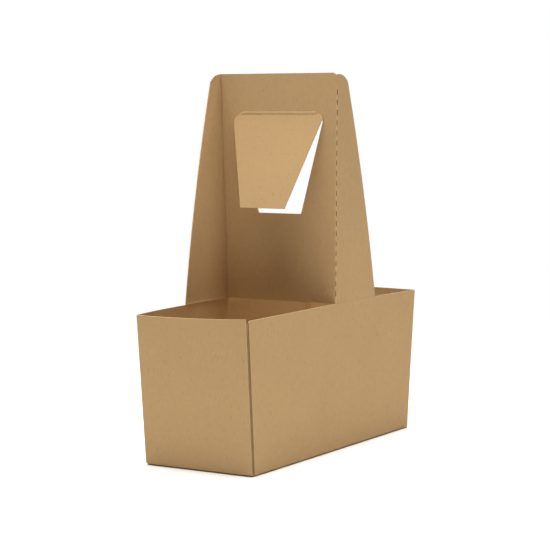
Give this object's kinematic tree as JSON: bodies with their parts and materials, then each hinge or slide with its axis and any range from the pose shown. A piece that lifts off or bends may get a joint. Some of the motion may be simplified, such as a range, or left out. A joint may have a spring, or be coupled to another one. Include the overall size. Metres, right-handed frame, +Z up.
{
  "type": "cup carrier",
  "caption": "Open kraft board box that carries takeaway cups side by side, with a tall folded handle panel across its middle and a hand hole with a fold-out flap.",
  "frame": {"origin": "middle of the underside, on the surface that the carrier stands on", "axes": "+Z up; +X along the long walls, away from the side that the hand flap opens to; +Y across the box"},
  "size_m": [0.21, 0.0932, 0.25],
  "materials": {
    "kraft_board": "matte, uncoated natural brown kraft with fine fibres"
  },
  "bodies": {
    "root": {"cup_carrier": "kraft_board"}
  },
  "joints": []
}
